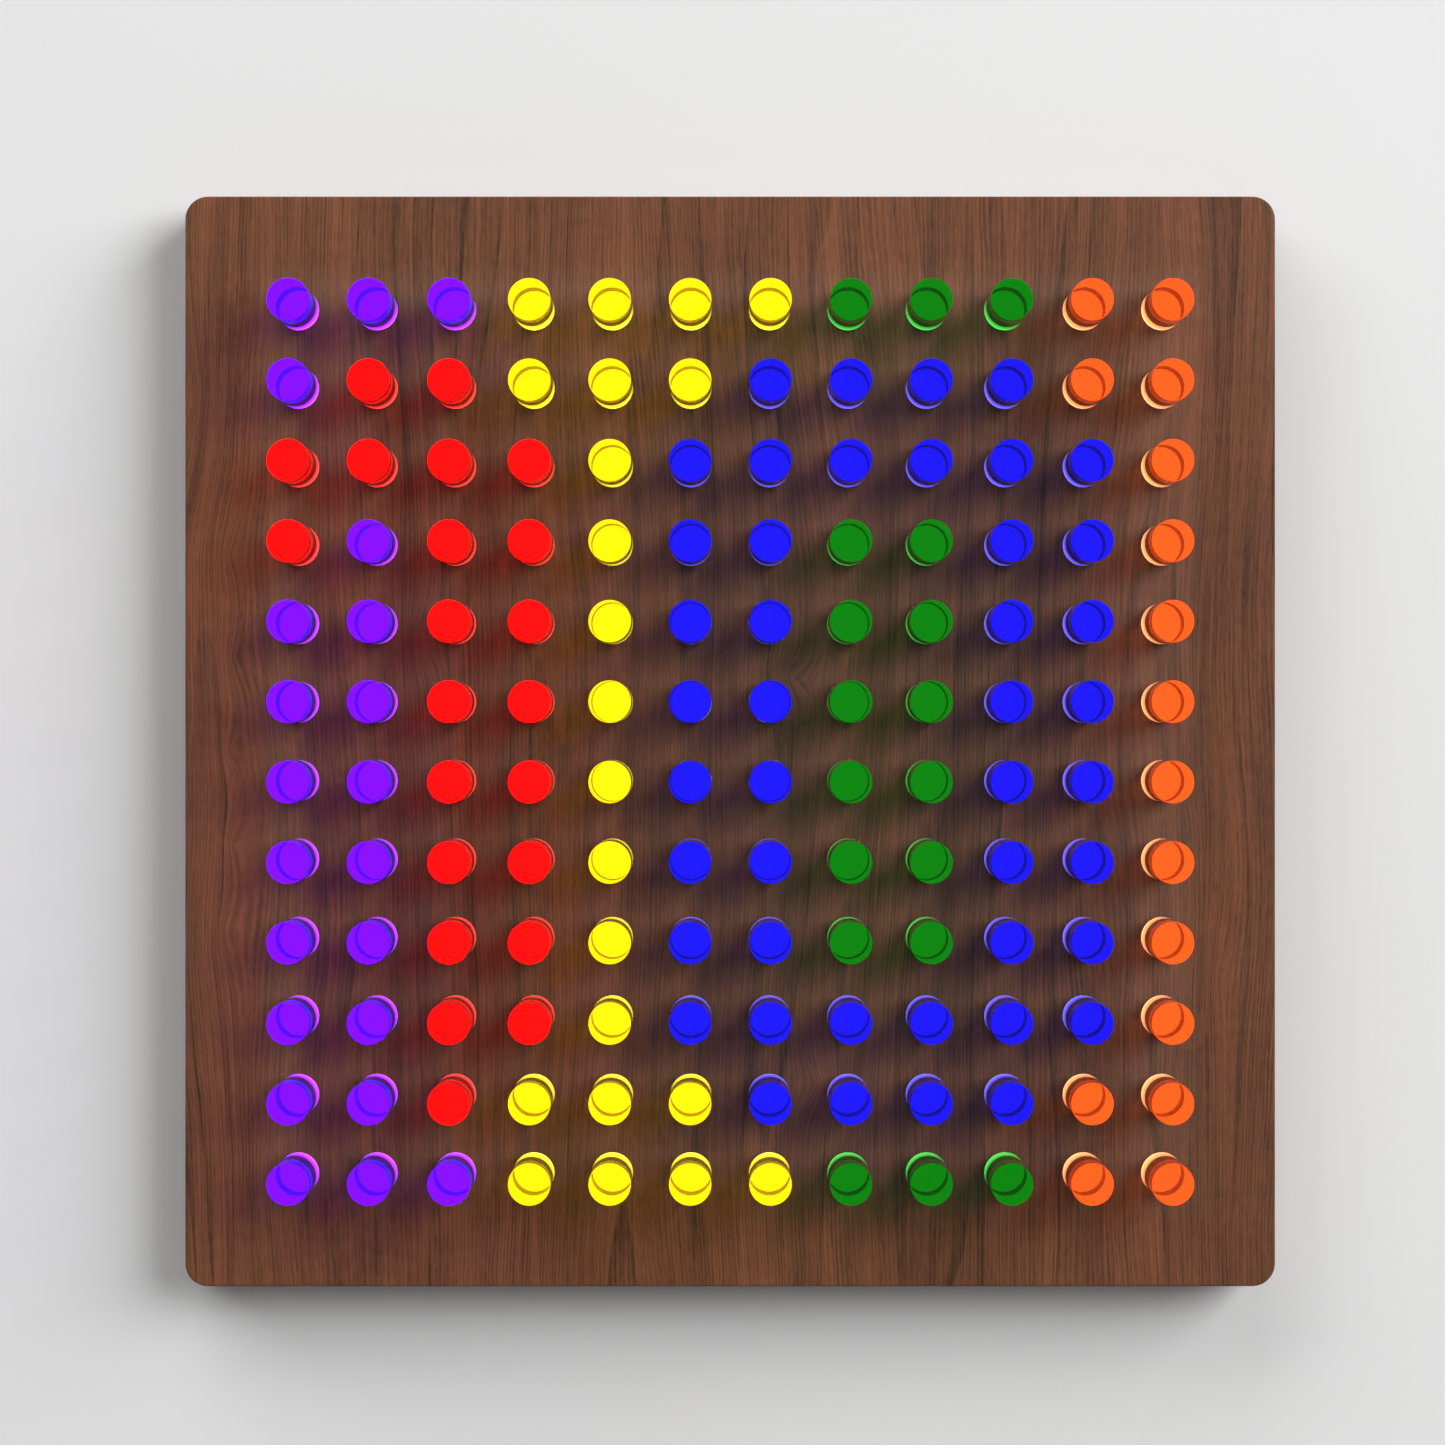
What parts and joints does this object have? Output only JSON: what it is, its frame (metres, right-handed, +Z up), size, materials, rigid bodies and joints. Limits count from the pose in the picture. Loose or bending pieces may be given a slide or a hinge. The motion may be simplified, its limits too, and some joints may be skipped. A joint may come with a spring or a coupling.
{
  "type": "light-up peg board",
  "caption": "Square walnut light-up peg board with rounded corners and a full grid of upright, lift-out, clear coloured acrylic pegs, standing on small rubber feet.",
  "frame": {"origin": "on the table, under the middle of the board", "axes": "+Z up, out of the playing face; +Y towards the far edge, along the wood's grain; +X to the right"},
  "size_m": [0.3056, 0.3056, 0.0483],
  "materials": {
    "walnut": "dark stained walnut, satin oil, fine straight grain",
    "opal": "opal acrylic, lit from behind",
    "circuit_board": "white solder mask with small white LEDs",
    "black_plastic": "moulded, fine texture",
    "white_plastic": "moulded, satin",
    "cell_jacket": "plain printed jacket, satin",
    "rubber": "matt black",
    "screw_steel": "zinc plated",
    "acrylic_purple": "clear tinted acrylic, polished",
    "acrylic_red": "clear tinted acrylic, polished",
    "acrylic_yellow": "clear tinted acrylic, polished",
    "acrylic_green": "clear tinted acrylic, polished",
    "acrylic_blue": "clear tinted acrylic, polished",
    "acrylic_orange": "clear tinted acrylic, polished"
  },
  "bodies": {
    "board": {"base_tray": "walnut", "battery_cells": "cell_jacket", "battery_holder": "black_plastic", "diffuser_sheet": "opal", "foot_screws": "screw_steel", "led_board": "circuit_board", "rubber_feet": "rubber", "switch_body": "black_plastic", "top_panel": "walnut"},
    "switch_knob": {"switch_knob": "white_plastic"},
    "peg_orange_row11_col11": {"peg_orange_row11_col11": "acrylic_orange"},
    "peg_orange_row2_col11": {"peg_orange_row2_col11": "acrylic_orange"},
    "peg_purple_row2_col1": {"peg_purple_row2_col1": "acrylic_purple"},
    "peg_yellow_row11_col4": {"peg_yellow_row11_col4": "acrylic_yellow"},
    "peg_yellow_row11_col6": {"peg_yellow_row11_col6": "acrylic_yellow"},
    "peg_yellow_row2_col4": {"peg_yellow_row2_col4": "acrylic_yellow"},
    "peg_yellow_row2_col6": {"peg_yellow_row2_col6": "acrylic_yellow"},
    "pegs_blue_col10_rows2_to_4": {"pegs_blue_col10_rows2_to_4": "acrylic_blue"},
    "pegs_blue_col10_rows5_to_8": {"pegs_blue_col10_rows5_to_8": "acrylic_blue"},
    "pegs_blue_col10_rows9_to_11": {"pegs_blue_col10_rows9_to_11": "acrylic_blue"},
    "pegs_blue_col11_rows3_to_6": {"pegs_blue_col11_rows3_to_6": "acrylic_blue"},
    "pegs_blue_col11_rows7_to_10": {"pegs_blue_col11_rows7_to_10": "acrylic_blue"},
    "pegs_blue_col6_rows3_to_6": {"pegs_blue_col6_rows3_to_6": "acrylic_blue"},
    "pegs_blue_col6_rows7_to_10": {"pegs_blue_col6_rows7_to_10": "acrylic_blue"},
    "pegs_blue_col7_rows2_to_4": {"pegs_blue_col7_rows2_to_4": "acrylic_blue"},
    "pegs_blue_col7_rows5_to_8": {"pegs_blue_col7_rows5_to_8": "acrylic_blue"},
    "pegs_blue_col7_rows9_to_11": {"pegs_blue_col7_rows9_to_11": "acrylic_blue"},
    "pegs_blue_col8_rows10_to_11": {"pegs_blue_col8_rows10_to_11": "acrylic_blue"},
    "pegs_blue_col8_rows2_to_3": {"pegs_blue_col8_rows2_to_3": "acrylic_blue"},
    "pegs_blue_col9_rows10_to_11": {"pegs_blue_col9_rows10_to_11": "acrylic_blue"},
    "pegs_blue_col9_rows2_to_3": {"pegs_blue_col9_rows2_to_3": "acrylic_blue"},
    "pegs_green_col8_rows4_to_6": {"pegs_green_col8_rows4_to_6": "acrylic_green"},
    "pegs_green_col8_rows7_to_9": {"pegs_green_col8_rows7_to_9": "acrylic_green"},
    "pegs_green_col9_rows4_to_6": {"pegs_green_col9_rows4_to_6": "acrylic_green"},
    "pegs_green_col9_rows7_to_9": {"pegs_green_col9_rows7_to_9": "acrylic_green"},
    "pegs_green_row12_cols8_to_10": {"pegs_green_row12_cols8_to_10": "acrylic_green"},
    "pegs_green_row1_cols8_to_10": {"pegs_green_row1_cols8_to_10": "acrylic_green"},
    "pegs_orange_col12_rows2_to_4": {"pegs_orange_col12_rows2_to_4": "acrylic_orange"},
    "pegs_orange_col12_rows5_to_8": {"pegs_orange_col12_rows5_to_8": "acrylic_orange"},
    "pegs_orange_col12_rows9_to_11": {"pegs_orange_col12_rows9_to_11": "acrylic_orange"},
    "pegs_orange_row12_cols11_to_12": {"pegs_orange_row12_cols11_to_12": "acrylic_orange"},
    "pegs_orange_row1_cols11_to_12": {"pegs_orange_row1_cols11_to_12": "acrylic_orange"},
    "pegs_purple_col1_rows5_to_8": {"pegs_purple_col1_rows5_to_8": "acrylic_purple"},
    "pegs_purple_col1_rows9_to_11": {"pegs_purple_col1_rows9_to_11": "acrylic_purple"},
    "pegs_purple_col2_rows4_to_7": {"pegs_purple_col2_rows4_to_7": "acrylic_purple"},
    "pegs_purple_col2_rows8_to_11": {"pegs_purple_col2_rows8_to_11": "acrylic_purple"},
    "pegs_purple_row12_cols1_to_3": {"pegs_purple_row12_cols1_to_3": "acrylic_purple"},
    "pegs_purple_row1_cols1_to_3": {"pegs_purple_row1_cols1_to_3": "acrylic_purple"},
    "pegs_red_col1_rows3_to_4": {"pegs_red_col1_rows3_to_4": "acrylic_red"},
    "pegs_red_col2_rows2_to_3": {"pegs_red_col2_rows2_to_3": "acrylic_red"},
    "pegs_red_col3_rows2_to_4": {"pegs_red_col3_rows2_to_4": "acrylic_red"},
    "pegs_red_col3_rows5_to_8": {"pegs_red_col3_rows5_to_8": "acrylic_red"},
    "pegs_red_col3_rows9_to_11": {"pegs_red_col3_rows9_to_11": "acrylic_red"},
    "pegs_red_col4_rows3_to_6": {"pegs_red_col4_rows3_to_6": "acrylic_red"},
    "pegs_red_col4_rows7_to_10": {"pegs_red_col4_rows7_to_10": "acrylic_red"},
    "pegs_yellow_col5_rows2_to_4": {"pegs_yellow_col5_rows2_to_4": "acrylic_yellow"},
    "pegs_yellow_col5_rows5_to_8": {"pegs_yellow_col5_rows5_to_8": "acrylic_yellow"},
    "pegs_yellow_col5_rows9_to_11": {"pegs_yellow_col5_rows9_to_11": "acrylic_yellow"},
    "pegs_yellow_row12_cols4_to_7": {"pegs_yellow_row12_cols4_to_7": "acrylic_yellow"},
    "pegs_yellow_row1_cols4_to_7": {"pegs_yellow_row1_cols4_to_7": "acrylic_yellow"}
  },
  "joints": [
    {"name": "slide_switch", "type": "slide", "parent": "board", "child": "switch_knob", "axis": [1, 0, 0], "range_m": [0, 0.003]},
    {"name": "lift_orange_row11_col11", "type": "slide", "parent": "board", "child": "peg_orange_row11_col11", "axis": [0, 0, 1], "range_m": [0, 0.02]},
    {"name": "lift_orange_row2_col11", "type": "slide", "parent": "board", "child": "peg_orange_row2_col11", "axis": [0, 0, 1], "range_m": [0, 0.02]},
    {"name": "lift_purple_row2_col1", "type": "slide", "parent": "board", "child": "peg_purple_row2_col1", "axis": [0, 0, 1], "range_m": [0, 0.02]},
    {"name": "lift_yellow_row11_col4", "type": "slide", "parent": "board", "child": "peg_yellow_row11_col4", "axis": [0, 0, 1], "range_m": [0, 0.02]},
    {"name": "lift_yellow_row11_col6", "type": "slide", "parent": "board", "child": "peg_yellow_row11_col6", "axis": [0, 0, 1], "range_m": [0, 0.02]},
    {"name": "lift_yellow_row2_col4", "type": "slide", "parent": "board", "child": "peg_yellow_row2_col4", "axis": [0, 0, 1], "range_m": [0, 0.02]},
    {"name": "lift_yellow_row2_col6", "type": "slide", "parent": "board", "child": "peg_yellow_row2_col6", "axis": [0, 0, 1], "range_m": [0, 0.02]},
    {"name": "lift_blue_col10_rows2_to_4", "type": "slide", "parent": "board", "child": "pegs_blue_col10_rows2_to_4", "axis": [0, 0, 1], "range_m": [0, 0.02]},
    {"name": "lift_blue_col10_rows5_to_8", "type": "slide", "parent": "board", "child": "pegs_blue_col10_rows5_to_8", "axis": [0, 0, 1], "range_m": [0, 0.02]},
    {"name": "lift_blue_col10_rows9_to_11", "type": "slide", "parent": "board", "child": "pegs_blue_col10_rows9_to_11", "axis": [0, 0, 1], "range_m": [0, 0.02]},
    {"name": "lift_blue_col11_rows3_to_6", "type": "slide", "parent": "board", "child": "pegs_blue_col11_rows3_to_6", "axis": [0, 0, 1], "range_m": [0, 0.02]},
    {"name": "lift_blue_col11_rows7_to_10", "type": "slide", "parent": "board", "child": "pegs_blue_col11_rows7_to_10", "axis": [0, 0, 1], "range_m": [0, 0.02]},
    {"name": "lift_blue_col6_rows3_to_6", "type": "slide", "parent": "board", "child": "pegs_blue_col6_rows3_to_6", "axis": [0, 0, 1], "range_m": [0, 0.02]},
    {"name": "lift_blue_col6_rows7_to_10", "type": "slide", "parent": "board", "child": "pegs_blue_col6_rows7_to_10", "axis": [0, 0, 1], "range_m": [0, 0.02]},
    {"name": "lift_blue_col7_rows2_to_4", "type": "slide", "parent": "board", "child": "pegs_blue_col7_rows2_to_4", "axis": [0, 0, 1], "range_m": [0, 0.02]},
    {"name": "lift_blue_col7_rows5_to_8", "type": "slide", "parent": "board", "child": "pegs_blue_col7_rows5_to_8", "axis": [0, 0, 1], "range_m": [0, 0.02]},
    {"name": "lift_blue_col7_rows9_to_11", "type": "slide", "parent": "board", "child": "pegs_blue_col7_rows9_to_11", "axis": [0, 0, 1], "range_m": [0, 0.02]},
    {"name": "lift_blue_col8_rows10_to_11", "type": "slide", "parent": "board", "child": "pegs_blue_col8_rows10_to_11", "axis": [0, 0, 1], "range_m": [0, 0.02]},
    {"name": "lift_blue_col8_rows2_to_3", "type": "slide", "parent": "board", "child": "pegs_blue_col8_rows2_to_3", "axis": [0, 0, 1], "range_m": [0, 0.02]},
    {"name": "lift_blue_col9_rows10_to_11", "type": "slide", "parent": "board", "child": "pegs_blue_col9_rows10_to_11", "axis": [0, 0, 1], "range_m": [0, 0.02]},
    {"name": "lift_blue_col9_rows2_to_3", "type": "slide", "parent": "board", "child": "pegs_blue_col9_rows2_to_3", "axis": [0, 0, 1], "range_m": [0, 0.02]},
    {"name": "lift_green_col8_rows4_to_6", "type": "slide", "parent": "board", "child": "pegs_green_col8_rows4_to_6", "axis": [0, 0, 1], "range_m": [0, 0.02]},
    {"name": "lift_green_col8_rows7_to_9", "type": "slide", "parent": "board", "child": "pegs_green_col8_rows7_to_9", "axis": [0, 0, 1], "range_m": [0, 0.02]},
    {"name": "lift_green_col9_rows4_to_6", "type": "slide", "parent": "board", "child": "pegs_green_col9_rows4_to_6", "axis": [0, 0, 1], "range_m": [0, 0.02]},
    {"name": "lift_green_col9_rows7_to_9", "type": "slide", "parent": "board", "child": "pegs_green_col9_rows7_to_9", "axis": [0, 0, 1], "range_m": [0, 0.02]},
    {"name": "lift_green_row12_cols8_to_10", "type": "slide", "parent": "board", "child": "pegs_green_row12_cols8_to_10", "axis": [0, 0, 1], "range_m": [0, 0.02]},
    {"name": "lift_green_row1_cols8_to_10", "type": "slide", "parent": "board", "child": "pegs_green_row1_cols8_to_10", "axis": [0, 0, 1], "range_m": [0, 0.02]},
    {"name": "lift_orange_col12_rows2_to_4", "type": "slide", "parent": "board", "child": "pegs_orange_col12_rows2_to_4", "axis": [0, 0, 1], "range_m": [0, 0.02]},
    {"name": "lift_orange_col12_rows5_to_8", "type": "slide", "parent": "board", "child": "pegs_orange_col12_rows5_to_8", "axis": [0, 0, 1], "range_m": [0, 0.02]},
    {"name": "lift_orange_col12_rows9_to_11", "type": "slide", "parent": "board", "child": "pegs_orange_col12_rows9_to_11", "axis": [0, 0, 1], "range_m": [0, 0.02]},
    {"name": "lift_orange_row12_cols11_to_12", "type": "slide", "parent": "board", "child": "pegs_orange_row12_cols11_to_12", "axis": [0, 0, 1], "range_m": [0, 0.02]},
    {"name": "lift_orange_row1_cols11_to_12", "type": "slide", "parent": "board", "child": "pegs_orange_row1_cols11_to_12", "axis": [0, 0, 1], "range_m": [0, 0.02]},
    {"name": "lift_purple_col1_rows5_to_8", "type": "slide", "parent": "board", "child": "pegs_purple_col1_rows5_to_8", "axis": [0, 0, 1], "range_m": [0, 0.02]},
    {"name": "lift_purple_col1_rows9_to_11", "type": "slide", "parent": "board", "child": "pegs_purple_col1_rows9_to_11", "axis": [0, 0, 1], "range_m": [0, 0.02]},
    {"name": "lift_purple_col2_rows4_to_7", "type": "slide", "parent": "board", "child": "pegs_purple_col2_rows4_to_7", "axis": [0, 0, 1], "range_m": [0, 0.02]},
    {"name": "lift_purple_col2_rows8_to_11", "type": "slide", "parent": "board", "child": "pegs_purple_col2_rows8_to_11", "axis": [0, 0, 1], "range_m": [0, 0.02]},
    {"name": "lift_purple_row12_cols1_to_3", "type": "slide", "parent": "board", "child": "pegs_purple_row12_cols1_to_3", "axis": [0, 0, 1], "range_m": [0, 0.02]},
    {"name": "lift_purple_row1_cols1_to_3", "type": "slide", "parent": "board", "child": "pegs_purple_row1_cols1_to_3", "axis": [0, 0, 1], "range_m": [0, 0.02]},
    {"name": "lift_red_col1_rows3_to_4", "type": "slide", "parent": "board", "child": "pegs_red_col1_rows3_to_4", "axis": [0, 0, 1], "range_m": [0, 0.02]},
    {"name": "lift_red_col2_rows2_to_3", "type": "slide", "parent": "board", "child": "pegs_red_col2_rows2_to_3", "axis": [0, 0, 1], "range_m": [0, 0.02]},
    {"name": "lift_red_col3_rows2_to_4", "type": "slide", "parent": "board", "child": "pegs_red_col3_rows2_to_4", "axis": [0, 0, 1], "range_m": [0, 0.02]},
    {"name": "lift_red_col3_rows5_to_8", "type": "slide", "parent": "board", "child": "pegs_red_col3_rows5_to_8", "axis": [0, 0, 1], "range_m": [0, 0.02]},
    {"name": "lift_red_col3_rows9_to_11", "type": "slide", "parent": "board", "child": "pegs_red_col3_rows9_to_11", "axis": [0, 0, 1], "range_m": [0, 0.02]},
    {"name": "lift_red_col4_rows3_to_6", "type": "slide", "parent": "board", "child": "pegs_red_col4_rows3_to_6", "axis": [0, 0, 1], "range_m": [0, 0.02]},
    {"name": "lift_red_col4_rows7_to_10", "type": "slide", "parent": "board", "child": "pegs_red_col4_rows7_to_10", "axis": [0, 0, 1], "range_m": [0, 0.02]},
    {"name": "lift_yellow_col5_rows2_to_4", "type": "slide", "parent": "board", "child": "pegs_yellow_col5_rows2_to_4", "axis": [0, 0, 1], "range_m": [0, 0.02]},
    {"name": "lift_yellow_col5_rows5_to_8", "type": "slide", "parent": "board", "child": "pegs_yellow_col5_rows5_to_8", "axis": [0, 0, 1], "range_m": [0, 0.02]},
    {"name": "lift_yellow_col5_rows9_to_11", "type": "slide", "parent": "board", "child": "pegs_yellow_col5_rows9_to_11", "axis": [0, 0, 1], "range_m": [0, 0.02]},
    {"name": "lift_yellow_row12_cols4_to_7", "type": "slide", "parent": "board", "child": "pegs_yellow_row12_cols4_to_7", "axis": [0, 0, 1], "range_m": [0, 0.02]},
    {"name": "lift_yellow_row1_cols4_to_7", "type": "slide", "parent": "board", "child": "pegs_yellow_row1_cols4_to_7", "axis": [0, 0, 1], "range_m": [0, 0.02]}
  ]
}
